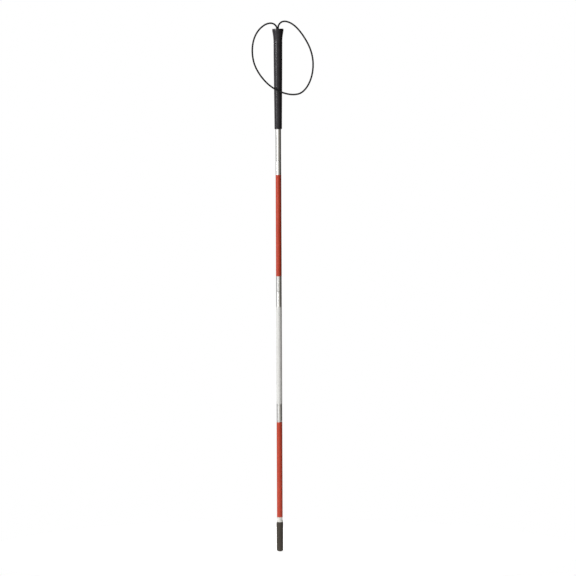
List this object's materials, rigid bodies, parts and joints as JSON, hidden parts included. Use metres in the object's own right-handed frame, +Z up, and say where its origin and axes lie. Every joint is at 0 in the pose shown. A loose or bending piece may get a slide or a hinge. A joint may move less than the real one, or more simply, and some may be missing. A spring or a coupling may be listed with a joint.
{
  "type": "folding white cane",
  "caption": "Folding white cane: rubber golf-style grip with wrist loop, tubular sections joined by an inner elastic, red and white reflective sleeves and a collared tip.",
  "frame": {"origin": "the tip's lowest point, on the shaft's axis", "axes": "+Z up the shaft from tip to grip; +X to the right and -Y towards the viewer, with the wrist loop across the front of the grip"},
  "size_m": [0.1451, 0.0302, 1.2389],
  "materials": {
    "grip_rubber": "matte moulded rubber",
    "loop_cord": "braided cover over round elastic",
    "inner_elastic": "braided cover over rubber strands",
    "bare_aluminium": "satin, drawn along the tube",
    "ferrule_aluminium": "turned",
    "steel": "plain",
    "red_tape": "retroreflective film, satin",
    "white_tape": "retroreflective film, satin",
    "white_nylon": "moulded nylon",
    "tip_polymer": "matte, slightly scuffed"
  },
  "bodies": {
    "handle": {"grip": "grip_rubber", "handle_tube": "bare_aluminium", "anchor_pin": "steel", "elastic_knot": "inner_elastic", "loop_knot": "loop_cord", "loop_washer": "steel", "wrist_loop": "loop_cord", "ferrule_1": "ferrule_aluminium", "elastic_1": "inner_elastic"},
    "link_1": {"elastic_bridge_1": "inner_elastic"},
    "section_2": {"tube_2": "bare_aluminium", "red_tape_2": "red_tape", "ferrule_2": "ferrule_aluminium", "elastic_2": "inner_elastic"},
    "link_2": {"elastic_bridge_2": "inner_elastic"},
    "section_3": {"tube_3": "bare_aluminium", "white_tape_3": "white_tape", "ferrule_3": "ferrule_aluminium", "elastic_3": "inner_elastic"},
    "link_3": {"elastic_bridge_3": "inner_elastic"},
    "section_4": {"tube_4": "bare_aluminium", "red_tape_4": "red_tape", "elastic_4": "inner_elastic"},
    "tip": {"tip_collar": "white_nylon", "tip_sleeve": "tip_polymer", "tip_hook": "steel", "elastic_loop": "inner_elastic", "loop_crimp": "ferrule_aluminium"}
  },
  "joints": [
    {"name": "draw_1", "type": "slide", "parent": "handle", "child": "link_1", "axis": [0, 0, -1], "range_m": [0, 0.04487], "stiffness_N_per_m": 200, "springref_m": -0.125, "deforming": ["elastic_bridge_1"]},
    {"name": "fold_1", "type": "hinge", "parent": "link_1", "child": "section_2", "pos_m": [0, 0.01, 0.912], "axis": [1, 0, 0], "range_deg": [0, 179.5]},
    {"name": "draw_2", "type": "slide", "parent": "section_2", "child": "link_2", "axis": [0, 0, -1], "range_m": [0, 0.04487], "stiffness_N_per_m": 200, "springref_m": -0.125, "deforming": ["elastic_bridge_2"]},
    {"name": "fold_2", "type": "hinge", "parent": "link_2", "child": "section_3", "pos_m": [0.01, 0, 0.608], "axis": [0, -1, 0], "range_deg": [0, 179.5]},
    {"name": "draw_3", "type": "slide", "parent": "section_3", "child": "link_3", "axis": [0, 0, -1], "range_m": [0, 0.04487], "stiffness_N_per_m": 200, "springref_m": -0.125, "deforming": ["elastic_bridge_3"]},
    {"name": "fold_3", "type": "hinge", "parent": "link_3", "child": "section_4", "pos_m": [-0.01, 0, 0.304], "axis": [0, 1, 0], "range_deg": [0, 179.5]},
    {"name": "tip_pull", "type": "slide", "parent": "section_4", "child": "tip", "axis": [0, 0, -1], "range_m": [0, 0.02], "stiffness_N_per_m": 200, "springref_m": -0.125, "deforming": ["elastic_4"]}
  ],
  "couplings": [
    {"joint": "fold_1", "follows": "draw_1", "rad_per_m": 69.813},
    {"joint": "fold_2", "follows": "draw_2", "rad_per_m": 69.813},
    {"joint": "fold_3", "follows": "draw_3", "rad_per_m": 69.813}
  ]
}
